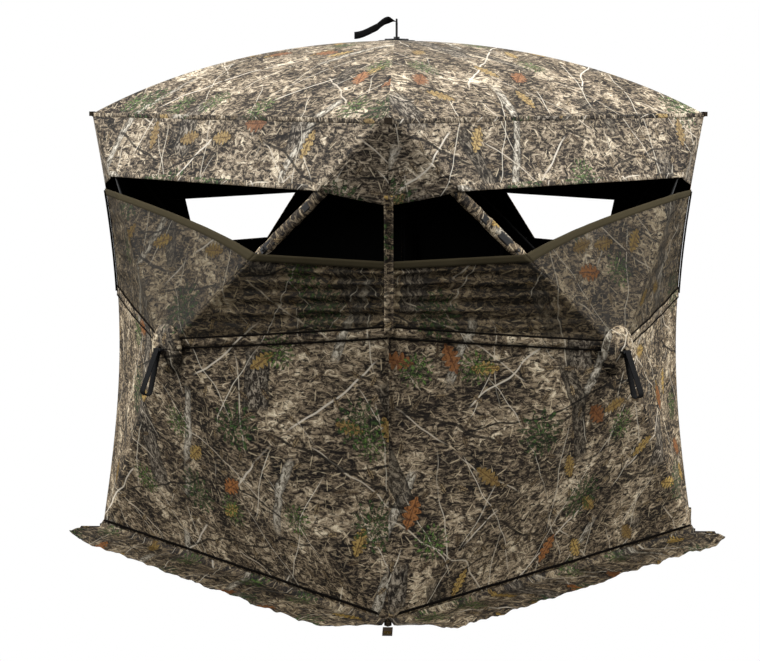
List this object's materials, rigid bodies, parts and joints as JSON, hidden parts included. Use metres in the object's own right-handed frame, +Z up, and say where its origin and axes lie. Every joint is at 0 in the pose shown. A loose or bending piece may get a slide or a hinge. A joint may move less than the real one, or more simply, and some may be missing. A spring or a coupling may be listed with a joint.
{
  "type": "pop up ground blind",
  "caption": "Square camouflage hunting shelter with push-out hub walls and domed roof, lowered window screens, pull loops and a ground skirt.",
  "frame": {"origin": "middle of the footprint at ground level", "axes": "+Z up, the two window walls face -Y and +X, each wall square to an axis"},
  "size_m": [2.2076, 2.2076, 1.8401],
  "materials": {
    "roof_cloth": "matte printed polyester",
    "wall_cloth": "matte printed polyester",
    "skirt_cloth": "matte printed polyester",
    "webbing": "woven polypropylene webbing",
    "sleeved_pole": "printed sleeve over a fibreglass rod",
    "pole_rod": "pultruded fibreglass with moulded ends",
    "hub_plastic": "moulded nylon with a plated bolt",
    "grommet_metal": "rolled eyelet",
    "zip_metal": "black painted slider"
  },
  "bodies": {
    "ground_edge": {"ground_skirt": "skirt_cloth", "edge_piping": "webbing", "corner_webbing": "webbing", "corner_boots": "webbing", "stake_loops": "webbing", "stake_grommets": "grommet_metal"},
    "front_hub": {"front_hub": "hub_plastic"},
    "front_upper_left_pole": {"front_upper_left_pole": "pole_rod"},
    "front_upper_right_pole": {"front_upper_right_pole": "sleeved_pole", "front_window_hook": "hub_plastic"},
    "front_lower_right_pole": {"front_lower_right_pole": "pole_rod"},
    "front_lower_left_pole": {"front_lower_left_pole": "pole_rod"},
    "front_upper_gore": {"front_upper_gore": "wall_cloth"},
    "front_lower_gore": {"front_lower_gore": "wall_cloth"},
    "front_left_gore": {"front_left_gore": "wall_cloth"},
    "front_right_gore": {"front_right_gore": "wall_cloth"},
    "front_pull_loop": {"front_pull_loop": "webbing"},
    "right_hub": {"right_hub": "hub_plastic"},
    "right_upper_left_pole": {"right_upper_left_pole": "sleeved_pole", "right_window_hook": "hub_plastic"},
    "right_upper_right_pole": {"right_upper_right_pole": "pole_rod"},
    "right_lower_right_pole": {"right_lower_right_pole": "pole_rod"},
    "right_lower_left_pole": {"right_lower_left_pole": "pole_rod"},
    "right_upper_gore": {"right_upper_gore": "wall_cloth"},
    "right_lower_gore": {"right_lower_gore": "wall_cloth"},
    "right_left_gore": {"right_left_gore": "wall_cloth"},
    "right_right_gore": {"right_right_gore": "wall_cloth"},
    "right_pull_loop": {"right_pull_loop": "webbing"},
    "back_hub": {"back_hub": "hub_plastic"},
    "back_upper_left_pole": {"back_upper_left_pole": "pole_rod"},
    "back_upper_right_pole": {"back_upper_right_pole": "pole_rod"},
    "back_lower_right_pole": {"back_lower_right_pole": "pole_rod"},
    "back_lower_left_pole": {"back_lower_left_pole": "pole_rod"},
    "back_upper_gore": {"back_upper_gore": "wall_cloth"},
    "back_lower_gore": {"back_lower_gore": "wall_cloth"},
    "back_left_gore": {"back_left_gore": "wall_cloth"},
    "back_right_gore": {"back_right_gore": "wall_cloth"},
    "back_pull_loop": {"back_pull_loop": "webbing"},
    "left_hub": {"left_hub": "hub_plastic"},
    "left_upper_left_pole": {"left_upper_left_pole": "pole_rod"},
    "left_upper_right_pole": {"left_upper_right_pole": "pole_rod"},
    "left_lower_right_pole": {"left_lower_right_pole": "pole_rod"},
    "left_lower_left_pole": {"left_lower_left_pole": "pole_rod"},
    "left_upper_gore": {"left_upper_gore": "wall_cloth"},
    "left_lower_gore": {"left_lower_gore": "wall_cloth"},
    "left_left_gore": {"left_left_gore": "wall_cloth"},
    "left_right_gore": {"left_right_gore": "wall_cloth"},
    "left_pull_loop": {"left_pull_loop": "webbing"},
    "roof_hub": {"roof_hub": "hub_plastic"},
    "roof_front_right_pole": {"roof_front_right_pole": "pole_rod"},
    "roof_back_right_pole": {"roof_back_right_pole": "pole_rod"},
    "roof_back_left_pole": {"roof_back_left_pole": "pole_rod"},
    "roof_front_left_pole": {"roof_front_left_pole": "pole_rod"},
    "roof_front_gore": {"roof_front_gore": "roof_cloth"},
    "roof_right_gore": {"roof_right_gore": "roof_cloth"},
    "roof_back_gore": {"roof_back_gore": "roof_cloth"},
    "roof_left_gore": {"roof_left_gore": "roof_cloth"},
    "roof_pull_loop": {"roof_pull_loop": "webbing"},
    "door_flap": {"door_flap": "wall_cloth"},
    "door_zip_slider": {"door_zip_slider": "zip_metal"}
  },
  "joints": [
    {"name": "front_hub_push", "type": "slide", "parent": "ground_edge", "child": "front_hub", "axis": [0, 1, 0], "range_m": [0, 0.5]},
    {"name": "front_upper_left_pole_hinge", "type": "hinge", "parent": "front_hub", "child": "front_upper_left_pole", "pos_m": [-0.03478, -0.992, 0.81809], "axis": [0.6893, 0, 0.7245], "range_deg": [-0.5, 28.48]},
    {"name": "front_upper_right_pole_hinge", "type": "hinge", "parent": "front_hub", "child": "front_upper_right_pole", "pos_m": [0.03478, -0.992, 0.81809], "axis": [0.6893, 0, -0.7245], "range_deg": [-0.5, 28.48]},
    {"name": "front_lower_right_pole_hinge", "type": "hinge", "parent": "front_hub", "child": "front_lower_right_pole", "pos_m": [0.03356, -0.992, 0.75069], "axis": [-0.7149, 0, -0.6993], "range_deg": [-0.5, 27.54]},
    {"name": "front_lower_left_pole_hinge", "type": "hinge", "parent": "front_hub", "child": "front_lower_left_pole", "pos_m": [-0.03356, -0.992, 0.75069], "axis": [-0.7149, 0, 0.6993], "range_deg": [-0.5, 27.54]},
    {"name": "front_upper_gore_hinge", "type": "hinge", "parent": "ground_edge", "child": "front_upper_gore", "pos_m": [0, -0.762, 1.51], "axis": [1, 0, 0], "range_deg": [-0.5, 40.24]},
    {"name": "front_lower_gore_hinge", "type": "hinge", "parent": "ground_edge", "child": "front_lower_gore", "pos_m": [0, -0.762, 0.006], "axis": [-1, 0, 0], "range_deg": [-0.5, 37.68]},
    {"name": "front_left_gore_hinge", "type": "hinge", "parent": "ground_edge", "child": "front_left_gore", "pos_m": [-0.762, -0.762, 0.755], "axis": [0, 0, 1], "range_deg": [-0.5, 38.45]},
    {"name": "front_right_gore_hinge", "type": "hinge", "parent": "ground_edge", "child": "front_right_gore", "pos_m": [0.762, -0.762, 0.755], "axis": [0, 0, -1], "range_deg": [-0.5, 38.45]},
    {"name": "front_loop_swing", "type": "hinge", "parent": "front_hub", "child": "front_pull_loop", "pos_m": [0, -1.042, 0.785], "axis": [-1, 0, 0], "range_deg": [-15, 130]},
    {"name": "right_hub_push", "type": "slide", "parent": "ground_edge", "child": "right_hub", "axis": [-1, 0, 0], "range_m": [0, 0.5]},
    {"name": "right_upper_left_pole_hinge", "type": "hinge", "parent": "right_hub", "child": "right_upper_left_pole", "pos_m": [0.992, -0.03478, 0.81809], "axis": [0, 0.6893, 0.7245], "range_deg": [-0.5, 28.48]},
    {"name": "right_upper_right_pole_hinge", "type": "hinge", "parent": "right_hub", "child": "right_upper_right_pole", "pos_m": [0.992, 0.03478, 0.81809], "axis": [0, 0.6893, -0.7245], "range_deg": [-0.5, 28.48]},
    {"name": "right_lower_right_pole_hinge", "type": "hinge", "parent": "right_hub", "child": "right_lower_right_pole", "pos_m": [0.992, 0.03356, 0.75069], "axis": [0, -0.7149, -0.6993], "range_deg": [-0.5, 27.54]},
    {"name": "right_lower_left_pole_hinge", "type": "hinge", "parent": "right_hub", "child": "right_lower_left_pole", "pos_m": [0.992, -0.03356, 0.75069], "axis": [0, -0.7149, 0.6993], "range_deg": [-0.5, 27.54]},
    {"name": "right_upper_gore_hinge", "type": "hinge", "parent": "ground_edge", "child": "right_upper_gore", "pos_m": [0.762, 0, 1.51], "axis": [0, 1, 0], "range_deg": [-0.5, 40.24]},
    {"name": "right_lower_gore_hinge", "type": "hinge", "parent": "ground_edge", "child": "right_lower_gore", "pos_m": [0.762, 0, 0.006], "axis": [0, -1, 0], "range_deg": [-0.5, 37.68]},
    {"name": "right_left_gore_hinge", "type": "hinge", "parent": "ground_edge", "child": "right_left_gore", "pos_m": [0.762, -0.762, 0.755], "axis": [0, 0, 1], "range_deg": [-0.5, 38.45]},
    {"name": "right_right_gore_hinge", "type": "hinge", "parent": "ground_edge", "child": "right_right_gore", "pos_m": [0.762, 0.762, 0.755], "axis": [0, 0, -1], "range_deg": [-0.5, 38.45]},
    {"name": "right_loop_swing", "type": "hinge", "parent": "right_hub", "child": "right_pull_loop", "pos_m": [1.042, 0, 0.785], "axis": [0, -1, 0], "range_deg": [-15, 130]},
    {"name": "back_hub_push", "type": "slide", "parent": "ground_edge", "child": "back_hub", "axis": [0, -1, 0], "range_m": [0, 0.5]},
    {"name": "back_upper_left_pole_hinge", "type": "hinge", "parent": "back_hub", "child": "back_upper_left_pole", "pos_m": [0.03478, 0.992, 0.81809], "axis": [-0.6893, 0, 0.7245], "range_deg": [-0.5, 28.48]},
    {"name": "back_upper_right_pole_hinge", "type": "hinge", "parent": "back_hub", "child": "back_upper_right_pole", "pos_m": [-0.03478, 0.992, 0.81809], "axis": [-0.6893, 0, -0.7245], "range_deg": [-0.5, 28.48]},
    {"name": "back_lower_right_pole_hinge", "type": "hinge", "parent": "back_hub", "child": "back_lower_right_pole", "pos_m": [-0.03356, 0.992, 0.75069], "axis": [0.7149, 0, -0.6993], "range_deg": [-0.5, 27.54]},
    {"name": "back_lower_left_pole_hinge", "type": "hinge", "parent": "back_hub", "child": "back_lower_left_pole", "pos_m": [0.03356, 0.992, 0.75069], "axis": [0.7149, 0, 0.6993], "range_deg": [-0.5, 27.54]},
    {"name": "back_upper_gore_hinge", "type": "hinge", "parent": "ground_edge", "child": "back_upper_gore", "pos_m": [0, 0.762, 1.51], "axis": [-1, 0, 0], "range_deg": [-0.5, 40.24]},
    {"name": "back_lower_gore_hinge", "type": "hinge", "parent": "ground_edge", "child": "back_lower_gore", "pos_m": [0, 0.762, 0.006], "axis": [1, 0, 0], "range_deg": [-0.5, 37.68]},
    {"name": "back_left_gore_hinge", "type": "hinge", "parent": "ground_edge", "child": "back_left_gore", "pos_m": [0.762, 0.762, 0.755], "axis": [0, 0, 1], "range_deg": [-0.5, 38.45]},
    {"name": "back_right_gore_hinge", "type": "hinge", "parent": "ground_edge", "child": "back_right_gore", "pos_m": [-0.762, 0.762, 0.755], "axis": [0, 0, -1], "range_deg": [-0.5, 38.45]},
    {"name": "back_loop_swing", "type": "hinge", "parent": "back_hub", "child": "back_pull_loop", "pos_m": [0, 1.042, 0.785], "axis": [1, 0, 0], "range_deg": [-15, 130]},
    {"name": "left_hub_push", "type": "slide", "parent": "ground_edge", "child": "left_hub", "axis": [1, 0, 0], "range_m": [0, 0.5]},
    {"name": "left_upper_left_pole_hinge", "type": "hinge", "parent": "left_hub", "child": "left_upper_left_pole", "pos_m": [-0.992, 0.03478, 0.81809], "axis": [0, -0.6893, 0.7245], "range_deg": [-0.5, 28.48]},
    {"name": "left_upper_right_pole_hinge", "type": "hinge", "parent": "left_hub", "child": "left_upper_right_pole", "pos_m": [-0.992, -0.03478, 0.81809], "axis": [0, -0.6893, -0.7245], "range_deg": [-0.5, 28.48]},
    {"name": "left_lower_right_pole_hinge", "type": "hinge", "parent": "left_hub", "child": "left_lower_right_pole", "pos_m": [-0.992, -0.03356, 0.75069], "axis": [0, 0.7149, -0.6993], "range_deg": [-0.5, 27.54]},
    {"name": "left_lower_left_pole_hinge", "type": "hinge", "parent": "left_hub", "child": "left_lower_left_pole", "pos_m": [-0.992, 0.03356, 0.75069], "axis": [0, 0.7149, 0.6993], "range_deg": [-0.5, 27.54]},
    {"name": "left_upper_gore_hinge", "type": "hinge", "parent": "ground_edge", "child": "left_upper_gore", "pos_m": [-0.762, 0, 1.51], "axis": [0, -1, 0], "range_deg": [-0.5, 40.24]},
    {"name": "left_lower_gore_hinge", "type": "hinge", "parent": "ground_edge", "child": "left_lower_gore", "pos_m": [-0.762, 0, 0.006], "axis": [0, 1, 0], "range_deg": [-0.5, 37.68]},
    {"name": "left_left_gore_hinge", "type": "hinge", "parent": "ground_edge", "child": "left_left_gore", "pos_m": [-0.762, 0.762, 0.755], "axis": [0, 0, 1], "range_deg": [-0.5, 38.45]},
    {"name": "left_right_gore_hinge", "type": "hinge", "parent": "ground_edge", "child": "left_right_gore", "pos_m": [-0.762, -0.762, 0.755], "axis": [0, 0, -1], "range_deg": [-0.5, 38.45]},
    {"name": "left_loop_swing", "type": "hinge", "parent": "left_hub", "child": "left_pull_loop", "pos_m": [-1.042, 0, 0.785], "axis": [0, 1, 0], "range_deg": [-15, 130]},
    {"name": "roof_hub_push", "type": "slide", "parent": "ground_edge", "child": "roof_hub", "axis": [0, 0, -1], "range_m": [0, 0.508]},
    {"name": "roof_front_right_pole_hinge", "type": "hinge", "parent": "roof_hub", "child": "roof_front_right_pole", "pos_m": [0.03394, -0.03394, 1.74], "axis": [-0.7071, -0.7071, 0], "range_deg": [-0.5, 27.02]},
    {"name": "roof_back_right_pole_hinge", "type": "hinge", "parent": "roof_hub", "child": "roof_back_right_pole", "pos_m": [0.03394, 0.03394, 1.74], "axis": [0.7071, -0.7071, 0], "range_deg": [-0.5, 27.02]},
    {"name": "roof_back_left_pole_hinge", "type": "hinge", "parent": "roof_hub", "child": "roof_back_left_pole", "pos_m": [-0.03394, 0.03394, 1.74], "axis": [0.7071, 0.7071, 0], "range_deg": [-0.5, 27.02]},
    {"name": "roof_front_left_pole_hinge", "type": "hinge", "parent": "roof_hub", "child": "roof_front_left_pole", "pos_m": [-0.03394, -0.03394, 1.74], "axis": [-0.7071, 0.7071, 0], "range_deg": [-0.5, 27.02]},
    {"name": "roof_front_gore_hinge", "type": "hinge", "parent": "ground_edge", "child": "roof_front_gore", "pos_m": [0, -0.762, 1.51], "axis": [-1, 0, 0], "range_deg": [-0.5, 37.37]},
    {"name": "roof_right_gore_hinge", "type": "hinge", "parent": "ground_edge", "child": "roof_right_gore", "pos_m": [0.762, 0, 1.51], "axis": [0, -1, 0], "range_deg": [-0.5, 37.37]},
    {"name": "roof_back_gore_hinge", "type": "hinge", "parent": "ground_edge", "child": "roof_back_gore", "pos_m": [0, 0.762, 1.51], "axis": [1, 0, 0], "range_deg": [-0.5, 37.37]},
    {"name": "roof_left_gore_hinge", "type": "hinge", "parent": "ground_edge", "child": "roof_left_gore", "pos_m": [-0.762, 0, 1.51], "axis": [0, 1, 0], "range_deg": [-0.5, 37.37]},
    {"name": "roof_loop_swing", "type": "hinge", "parent": "roof_hub", "child": "roof_pull_loop", "pos_m": [0, 0, 1.835], "axis": [-0.7071, 0.7071, 0], "range_deg": [0, 130]},
    {"name": "door_hinge", "type": "hinge", "parent": "back_right_gore", "child": "door_flap", "pos_m": [-0.70526, 0.78151, 0.706], "axis": [0, 0, 1], "range_deg": [0, 110]},
    {"name": "door_zip_slide", "type": "slide", "parent": "back_right_gore", "child": "door_zip_slider", "axis": [-0.6851, -0.2356, 0.6893], "range_m": [0, 0.44]}
  ],
  "couplings": [
    {"joint": "front_upper_left_pole_hinge", "follows": "front_hub_push", "rad_per_m": 0.97652},
    {"joint": "front_upper_right_pole_hinge", "follows": "front_hub_push", "rad_per_m": 0.97652},
    {"joint": "front_lower_right_pole_hinge", "follows": "front_hub_push", "rad_per_m": 0.9438},
    {"joint": "front_lower_left_pole_hinge", "follows": "front_hub_push", "rad_per_m": 0.9438},
    {"joint": "front_upper_gore_hinge", "follows": "front_hub_push", "rad_per_m": 1.3871},
    {"joint": "front_lower_gore_hinge", "follows": "front_hub_push", "rad_per_m": 1.2978},
    {"joint": "front_left_gore_hinge", "follows": "front_hub_push", "rad_per_m": 1.3247},
    {"joint": "front_right_gore_hinge", "follows": "front_hub_push", "rad_per_m": 1.3247},
    {"joint": "right_upper_left_pole_hinge", "follows": "right_hub_push", "rad_per_m": 0.97652},
    {"joint": "right_upper_right_pole_hinge", "follows": "right_hub_push", "rad_per_m": 0.97652},
    {"joint": "right_lower_right_pole_hinge", "follows": "right_hub_push", "rad_per_m": 0.9438},
    {"joint": "right_lower_left_pole_hinge", "follows": "right_hub_push", "rad_per_m": 0.9438},
    {"joint": "right_upper_gore_hinge", "follows": "right_hub_push", "rad_per_m": 1.3871},
    {"joint": "right_lower_gore_hinge", "follows": "right_hub_push", "rad_per_m": 1.2978},
    {"joint": "right_left_gore_hinge", "follows": "right_hub_push", "rad_per_m": 1.3247},
    {"joint": "right_right_gore_hinge", "follows": "right_hub_push", "rad_per_m": 1.3247},
    {"joint": "back_upper_left_pole_hinge", "follows": "back_hub_push", "rad_per_m": 0.97652},
    {"joint": "back_upper_right_pole_hinge", "follows": "back_hub_push", "rad_per_m": 0.97652},
    {"joint": "back_lower_right_pole_hinge", "follows": "back_hub_push", "rad_per_m": 0.9438},
    {"joint": "back_lower_left_pole_hinge", "follows": "back_hub_push", "rad_per_m": 0.9438},
    {"joint": "back_upper_gore_hinge", "follows": "back_hub_push", "rad_per_m": 1.3871},
    {"joint": "back_lower_gore_hinge", "follows": "back_hub_push", "rad_per_m": 1.2978},
    {"joint": "back_left_gore_hinge", "follows": "back_hub_push", "rad_per_m": 1.3247},
    {"joint": "back_right_gore_hinge", "follows": "back_hub_push", "rad_per_m": 1.3247},
    {"joint": "left_upper_left_pole_hinge", "follows": "left_hub_push", "rad_per_m": 0.97652},
    {"joint": "left_upper_right_pole_hinge", "follows": "left_hub_push", "rad_per_m": 0.97652},
    {"joint": "left_lower_right_pole_hinge", "follows": "left_hub_push", "rad_per_m": 0.9438},
    {"joint": "left_lower_left_pole_hinge", "follows": "left_hub_push", "rad_per_m": 0.9438},
    {"joint": "left_upper_gore_hinge", "follows": "left_hub_push", "rad_per_m": 1.3871},
    {"joint": "left_lower_gore_hinge", "follows": "left_hub_push", "rad_per_m": 1.2978},
    {"joint": "left_left_gore_hinge", "follows": "left_hub_push", "rad_per_m": 1.3247},
    {"joint": "left_right_gore_hinge", "follows": "left_hub_push", "rad_per_m": 1.3247},
    {"joint": "roof_front_right_pole_hinge", "follows": "roof_hub_push", "rad_per_m": 0.91133},
    {"joint": "roof_back_right_pole_hinge", "follows": "roof_hub_push", "rad_per_m": 0.91133},
    {"joint": "roof_back_left_pole_hinge", "follows": "roof_hub_push", "rad_per_m": 0.91133},
    {"joint": "roof_front_left_pole_hinge", "follows": "roof_hub_push", "rad_per_m": 0.91133},
    {"joint": "roof_front_gore_hinge", "follows": "roof_hub_push", "rad_per_m": 1.2667},
    {"joint": "roof_right_gore_hinge", "follows": "roof_hub_push", "rad_per_m": 1.2667},
    {"joint": "roof_back_gore_hinge", "follows": "roof_hub_push", "rad_per_m": 1.2667},
    {"joint": "roof_left_gore_hinge", "follows": "roof_hub_push", "rad_per_m": 1.2667}
  ]
}
